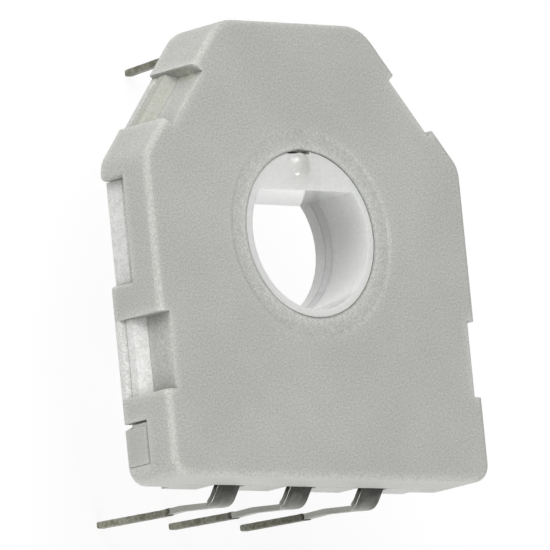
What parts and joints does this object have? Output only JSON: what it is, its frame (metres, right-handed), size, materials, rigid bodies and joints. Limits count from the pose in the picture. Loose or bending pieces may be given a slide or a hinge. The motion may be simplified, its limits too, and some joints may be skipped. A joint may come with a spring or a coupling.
{
  "type": "rotary position sensor",
  "caption": "Thin board-mounted rotary position sensor with a D-shaped through hole in a free-turning rotor, three bent signal pins at one edge and a support pin at the other.",
  "frame": {"origin": "on the rotor's axis, in the plane of the base's rear face, which seats on the circuit board", "axes": "+Z along the rotor's axis out of the front face, -Y towards the three terminals, +X to the right seen from the front"},
  "size_m": [0.011, 0.0127, 0.0067],
  "materials": {
    "cover_resin": "moulded light grey-white filled resin, fine satin texture",
    "base_resin": "moulded off-white filled resin",
    "rotor_resin": "moulded white resin, smoother than the cover",
    "board_resin": "resin laminate, hidden inside",
    "carbon_print": "screen printed carbon resin",
    "silver_print": "screen printed silver paste",
    "tinned_strip": "stamped strip with dull tin plating",
    "solder": "reflowed solder",
    "contact_spring": "stamped nickel silver spring"
  },
  "bodies": {
    "stator": {"housing": "cover_resin", "base": "base_resin", "element_substrate": "board_resin", "resistive_track": "carbon_print", "collector_track": "silver_print", "end_electrode_1": "silver_print", "end_electrode_3": "silver_print", "terminal_1": "tinned_strip", "terminal_2": "tinned_strip", "terminal_3": "tinned_strip", "solder_joints": "solder", "support_pin": "tinned_strip"},
    "rotor_unit": {"rotor": "rotor_resin", "wiper": "contact_spring"}
  },
  "joints": [
    {"name": "rotor_spin", "type": "hinge", "parent": "stator", "child": "rotor_unit", "pos_m": [0, 0, 0.001], "axis": [0, 0, 1], "continuous": true}
  ]
}
